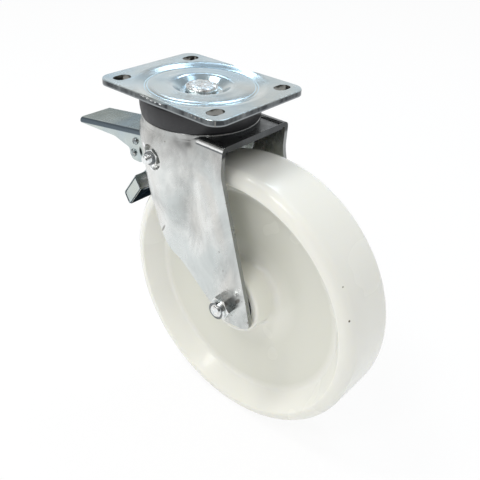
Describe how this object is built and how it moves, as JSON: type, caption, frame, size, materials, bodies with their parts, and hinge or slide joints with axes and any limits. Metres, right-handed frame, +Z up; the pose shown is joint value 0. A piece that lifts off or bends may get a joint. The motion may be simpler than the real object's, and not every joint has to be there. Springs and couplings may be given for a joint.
{
  "type": "swivel castor",
  "caption": "Plate-mounted swivel castor with a pressed steel fork, a large solid nylon wheel and a front foot brake with a release tab.",
  "frame": {"origin": "centre of the mounting plate's top face", "axes": "+Z up out of the plate, X along the wheel axle with the lock nuts at -X, +Y towards the brake pedal; the wheel trails to -Y"},
  "size_m": [0.1124, 0.3363, 0.3],
  "materials": {
    "plate_zinc": "bright bluish zinc plate",
    "fork_zinc": "dull grey-white zinc",
    "pin_steel": "zinc-plated, hammered head",
    "race_steel": "ground steel",
    "ball_steel": "polished balls",
    "seal_black": "satin black moulding",
    "bolt_zinc": "bright zinc",
    "lock_nylon": "white nylon",
    "brake_zinc": "satin zinc",
    "wheel_nylon": "glossy off-white polyamide"
  },
  "bodies": {
    "mounting_plate": {"top_plate": "plate_zinc", "kingpin": "pin_steel", "bearing_cup": "race_steel"},
    "swivel_balls": {"upper_balls": "ball_steel", "lower_balls": "ball_steel"},
    "swivel_fork": {"fork": "fork_zinc", "upper_race": "race_steel", "lower_race": "race_steel", "swivel_seal": "seal_black", "axle_bolt": "bolt_zinc", "axle_nut": "bolt_zinc", "nylon_rings": "lock_nylon", "axle_sleeve": "race_steel", "bearing_spacer": "race_steel", "leg_spacers": "race_steel", "bearing_inner_rings": "race_steel", "pivot_bolt": "bolt_zinc", "pivot_nut": "bolt_zinc", "pivot_sleeve": "race_steel", "pivot_spacers": "race_steel", "spring_washers": "race_steel"},
    "road_wheel": {"wheel": "wheel_nylon", "bearing_outer_rings": "race_steel", "bearing_shields": "race_steel"},
    "wheel_balls": {"bearing_balls": "ball_steel"},
    "pedal": {"brake_pedal": "brake_zinc", "brake_shoe": "brake_zinc", "brake_rivets": "bolt_zinc"},
    "release": {"release_lever": "brake_zinc"}
  },
  "joints": [
    {"name": "swivel", "type": "hinge", "parent": "mounting_plate", "child": "swivel_fork", "pos_m": [0, 0, 0], "axis": [0, 0, 1], "continuous": true},
    {"name": "swivel_ball_orbit", "type": "hinge", "parent": "mounting_plate", "child": "swivel_balls", "pos_m": [0, 0, 0], "axis": [0, 0, 1], "continuous": true},
    {"name": "wheel_spin", "type": "hinge", "parent": "swivel_fork", "child": "road_wheel", "pos_m": [0, -0.066, -0.175], "axis": [1, 0, 0], "continuous": true},
    {"name": "wheel_ball_orbit", "type": "hinge", "parent": "swivel_fork", "child": "wheel_balls", "pos_m": [0, -0.066, -0.175], "axis": [1, 0, 0], "continuous": true},
    {"name": "pedal_press", "type": "hinge", "parent": "swivel_fork", "child": "pedal", "pos_m": [0, 0.0096, -0.0548], "axis": [-1, 0, 0], "range_deg": [0, 9]},
    {"name": "release_swing", "type": "hinge", "parent": "swivel_fork", "child": "release", "pos_m": [0, 0.0096, -0.0548], "axis": [1, 0, 0], "range_deg": [0, 3.6]}
  ],
  "couplings": [
    {"joint": "swivel_ball_orbit", "follows": "swivel", "ratio": 0.5},
    {"joint": "wheel_ball_orbit", "follows": "wheel_spin", "ratio": 0.6164},
    {"joint": "release_swing", "follows": "pedal_press", "ratio": 0.4}
  ]
}
